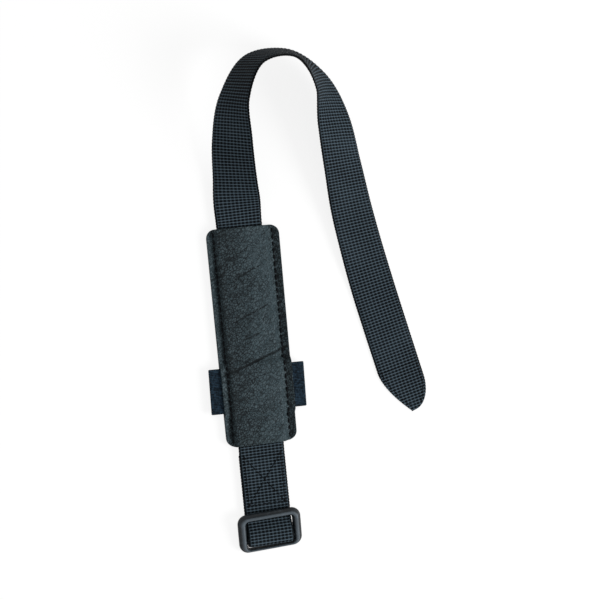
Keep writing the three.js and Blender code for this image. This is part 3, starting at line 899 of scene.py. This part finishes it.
def mouldedNylon():
    # injection-moulded nylon, spark-eroded finish: satin black, grey wear patches, painted highlight on the
    # rim's crown
    material, add = startMaterial("Moulded nylon, satin")
    where = add("TexCoord").outputs["Object"]
    grit = add("TexNoise", {"Vector": where, "Scale": 2600.0, "Detail": 2.0})
    rub = add("TexNoise", {"Vector": where, "Scale": 260.0, "Detail": 3.0})
    wearAndHighlight = add("MapRange",
        {"Value": rub, "From Min": 0.42, "From Max": 0.72, "To Min": 0.0, "To Max": 0.25},
        interpolation_type="SMOOTHSTEP")
    # painted highlight: the crown of the rim is mixed three quarters of the way to the pale grey
    bead = add("Attribute", attribute_name="bead").outputs["Fac"]
    wearAndHighlight = add("Math", (bead, 0.75, wearAndHighlight), operation="MULTIPLY_ADD")
    mix = add("Mix", {"Factor": wearAndHighlight, 6: colour(buckle["shade"]), 7: colour(buckle["shadeEdge"])},
        data_type="RGBA", clamp_factor=True).outputs[2]
    rough = add("MapRange", {"Value": grit, "To Min": 0.38, "To Max": 0.55})
    bump = add("Bump", {"Height": grit, "Strength": 0.15, "Distance": 0.0001})
    shader = add("BsdfPrincipled",
        {"Base Color": mix, "Roughness": rough, "Specular IOR Level": buckle["specular"], "Normal": bump})
    add("OutputMaterial", {"Surface": shader})
    return material


addBuckle()


# Sewing: bonded polyester thread, each stitch a short arch that dives into the cloth at both ends
def stitchTree():
    tree, given = startTree("Stitch row", {
        "Pitch": ("Float", 0.003), "Stitch Length": ("Float", 0.0024), "Thread Radius": ("Float", 0.0004),
        "Arch": ("Float", 0.0004), "Uneven": ("Float", 0.08), "Seed": ("Int", 5),
        "Material": ("Material", None),
    })
    add = partial(addNode, tree)
    curve = add("GeometryNodeMeshToCurve", {"Mesh": given["Geometry"]}).outputs["Curve"]
    spots = add("GeometryNodeCurveToPoints", {"Curve": curve, "Length": given["Pitch"]}, mode="LENGTH")
    upWay = add("GeometryNodeInputNamedAttribute", {"Name": "upWay"},
        data_type="FLOAT_VECTOR").outputs["Attribute"]
    turned = add("FunctionNodeAxesToRotation",
        {"Primary Axis": upWay, "Secondary Axis": spots.outputs["Tangent"]}, primary_axis="Z",
        secondary_axis="X")
    wobble = add("FunctionNodeRandomValue", {"Min": (0, 0, -1), "Max": (0, 0, 1), "Seed": given["Seed"]},
        data_type="FLOAT_VECTOR")
    wobble = add("VectorMath", {0: wobble, "Scale": given["Uneven"]}, operation="SCALE")
    turned = add("FunctionNodeRotateRotation", {"Rotation": turned, "Rotate By": wobble},
        rotation_space="LOCAL")
    half = add("Math", (given["Stitch Length"], 2.0), operation="DIVIDE")
    start = add("CombineXYZ", {"X": add("Math", (half, -1.0), operation="MULTIPLY"),
            "Z": add("Math", (given["Arch"], -1.0), operation="MULTIPLY")})
    end = add("CombineXYZ", {"X": half, "Z": add("Math", (given["Arch"], -1.0), operation="MULTIPLY")})
    middle = add("CombineXYZ", {"Z": given["Arch"]})
    arch = add("GeometryNodeCurveQuadraticBezier",
        {"Resolution": 5, "Start": start, "Middle": middle, "End": end})
    ring = add("GeometryNodeCurvePrimitiveCircle", {"Resolution": 6, "Radius": given["Thread Radius"]},
        mode="RADIUS")
    thread = add("GeometryNodeCurveToMesh", {"Curve": arch, "Profile Curve": ring, "Fill Caps": True})
    kept = add("GeometryNodeInstanceOnPoints",
        {"Points": spots.outputs["Points"], "Instance": thread, "Rotation": turned})
    kept = add("GeometryNodeRealizeInstances", {"Geometry": kept})
    kept = add("GeometryNodeSetShadeSmooth", {"Geometry": kept})
    kept = add("GeometryNodeSetMaterial", {"Geometry": kept, "Material": given["Material"]})
    add("NodeGroupOutput", {"Geometry": kept})
    return tree


def bondedThread():
    # bonded polyester sewing thread: black, with a slight shine on the crown of each stitch
    material, add = startMaterial("Bonded polyester thread")
    where = add("TexCoord").outputs["Object"]
    ply = add("TexNoise", {"Vector": where, "Scale": 1800.0, "Detail": 2.0})
    mix = add("Mix", {"Factor": ply, 6: colour(stitch["shade"]), 7: colour(stitch["shadePly"])},
        data_type="RGBA").outputs[2]
    bump = add("Bump", {"Height": ply, "Strength": 0.3, "Distance": 0.0001})
    shader = add("BsdfPrincipled", {"Base Color": mix, "Roughness": stitch["roughness"],
            "Specular IOR Level": stitch["specular"], "Normal": bump})
    add("OutputMaterial", {"Surface": shader})
    return material


stitchNodes = stitchTree()
threadMaterial = bondedThread()


def addStitches(name, runs, ups, slotName, pitch, length, radius, arch, seed):
    # runs are lines of points in strap millimetres, ups the surface's outward way at each point
    points, edges, outward = [], [], []
    for line, up in zip(runs, ups):
        first = len(points)
        points += [tuple(p) for p in line]
        outward += [tuple(u) for u in up]
        edges += [(i, i + 1) for i in range(first, len(points) - 1)]
    row = makeObject(name + "Line", points, edges=edges)
    setAttribute(row, "upWay", "FLOAT_VECTOR", turnToTable(outward))
    piece = bakeNodes(row, stitchNodes, {
        "Pitch": pitch * mm, "Stitch Length": length * mm, "Thread Radius": radius * mm, "Arch": arch * mm,
        "Uneven": 0.07, "Seed": seed, "Material": threadMaterial}, name)
    pointOutwards(piece)
    finishPiece(piece, threadMaterial, slotName)
    print(name, len(piece.data.polygons), "faces")


def seamLines():
    runs, ups = [], []
    for side in (-1, 1):
        x, y = stitchSpots(side)
        y = np.linspace(y[0], y[-1], 200)
        x = side * (sleeveHalf(y) - stitch["seamIn"])
        z = np.array([frontHeight(np.array([a]), b)[0] for a, b in zip(x, y)]) + leatherThick - 0.1
        runs.append(placeSleeve(np.column_stack([x, y, z])))
        ups.append(np.tile([0.0, 0.0, 1.0], (len(y), 1)))
    return runs, ups


def boxLines():
    # a sewn box with a cross in it holds the folded end to the strap over it
    h, top, low = stitch["boxHalf"], stitch["boxTop"], stitch["boxBottom"]
    corners = [((-h, top), (h, top)), ((h, top), (h, low)), ((h, low), (-h, low)), ((-h, low), (-h, top)),
               ((-h, top), (h, low)), ((h, top), (-h, low))]
    route = webbingRoute()
    climb = route[(np.abs(route[:, 0]) < 0.01) & (route[:, 1] < 0) & (route[:, 2] > foldMid + 0.5)]
    order = np.argsort(climb[:, 1])
    runs, ups = [], []
    for a, b in corners:
        t = np.linspace(0, 1, 30)[:, None]
        p = np.array(a) * (1 - t) + np.array(b) * t
        z = np.interp(p[:, 1], climb[order, 1], climb[order, 2]) + webbing["thickness"] / 2
        runs.append(np.column_stack([p, z]))
        ups.append(np.tile([0.0, 0.0, 1.0], (len(p), 1)))
    return runs, ups


def tipLines():
    # a line across the tip's shoulder and along both flanks, where the cut end is sewn down
    at, centre, across, up, inner, outer = webbingFrames(webbing["routeStep"])
    total = at[-1]

    def spot(left, share):
        k = int(np.argmin(np.abs(total - at - left)))
        return centre[k] + across[k] * share + up[k] * webbing["thickness"] / 2, up[k]

    def line(lefts, shares):
        made = [spot(a, b) for a, b in zip(lefts, shares)]
        return np.array([m[0] for m in made]), np.array([m[1] for m in made])

    n = 40
    lefts = np.linspace(25.5, 4.0, n)
    half = np.interp(lefts, (total - at)[::-1], inner[::-1])
    halfOut = np.interp(lefts, (total - at)[::-1], outer[::-1])
    rows = [line(np.full(n, 25.5), np.linspace(-10.3, 10.3, n)),
            line(lefts, np.maximum(half - 2.2, 0)), line(lefts, -np.maximum(halfOut - 2.2, 0))]
    return [r[0] for r in rows], [r[1] for r in rows]


addStitches("sleeve_seams", *seamLines(), "leather", stitch["seamPitch"], 2.5, stitch["thread"], 0.4, 5)
addStitches("box_stitching", *boxLines(), "webbing", stitch["boxPitch"], 2.2, 0.3, 0.3, 7)
addStitches("tip_stitching", *tipLines(), "webbing", 2.3, 1.9, 0.25, 0.25, 9)

# Table and light: a white table, an even white room, and one soft lamp from the upper right
room = {
    "world": 0.45,
    "lampPower": 11.0,
    "lampSize": 0.7,
    "lampPlace": (1.0, -0.35, 0.75),
    "floorSize": 6.0,
    # a quarter of the table takes shadows, and the rest glows above 1 so that the mix still shows white
    "floorShadow": 0.25,
    "floorGlow": 1.12,
}


def seenByCamera(add):
    # 1 for the rays that show a surface to the camera, straight, mirrored or passed through
    way = add("LightPath").outputs
    seen = add("Math", (way["Is Camera Ray"], way["Is Glossy Ray"]), operation="MAXIMUM")
    return add("Math", (seen, way["Is Transmission Ray"]), operation="MAXIMUM")


def addTable():
    s = room["floorSize"] / 2
    floor = makeObject("table", [(-s, -s, -0.0002), (s, -s, -0.0002), (s, s, -0.0002), (-s, s, -0.0002)],
                       [(0, 1, 2, 3)], onTable=False)
    material, add = startMaterial("White table")
    share = add("Math", (seenByCamera(add), 1 - room["floorShadow"]), operation="MULTIPLY")
    matt = add("BsdfDiffuse", {"Color": colour("#f7f7f7")})
    plain = add("Emission", {"Color": (1, 1, 1, 1), "Strength": room["floorGlow"]})
    mix = add("MixShader", (share, matt, plain))
    add("OutputMaterial", {"Surface": mix})
    floor.data.materials.append(material)


def addLight():
    world = bpy.data.worlds.new("white room")
    bpy.context.scene.world = world
    world.use_nodes = True
    world.node_tree.nodes.clear()
    add = partial(addNode, world.node_tree)
    roomLight = add("Background", {"Color": (1, 1, 1, 1), "Strength": room["world"]})
    white = add("Background", {"Color": (1, 1, 1, 1), "Strength": 1.0})
    mix = add("MixShader", (seenByCamera(add), roomLight, white))
    add("OutputWorld", {"Surface": mix})
    data = bpy.data.lights.new("softLamp", "AREA")
    data.shape = "DISK"
    data.size = room["lampSize"]
    data.energy = room["lampPower"]
    lamp = bpy.data.objects.new("softLamp", data)
    bpy.context.scene.collection.objects.link(lamp)
    lamp.location = room["lampPlace"]
    lamp.rotation_mode = "QUATERNION"
    lamp.rotation_quaternion = (-Vector(room["lampPlace"])).to_track_quat("-Z", "Y")


addTable()
addLight()
bpy.context.scene.view_settings.view_transform = "Standard"
print("table and light in place")
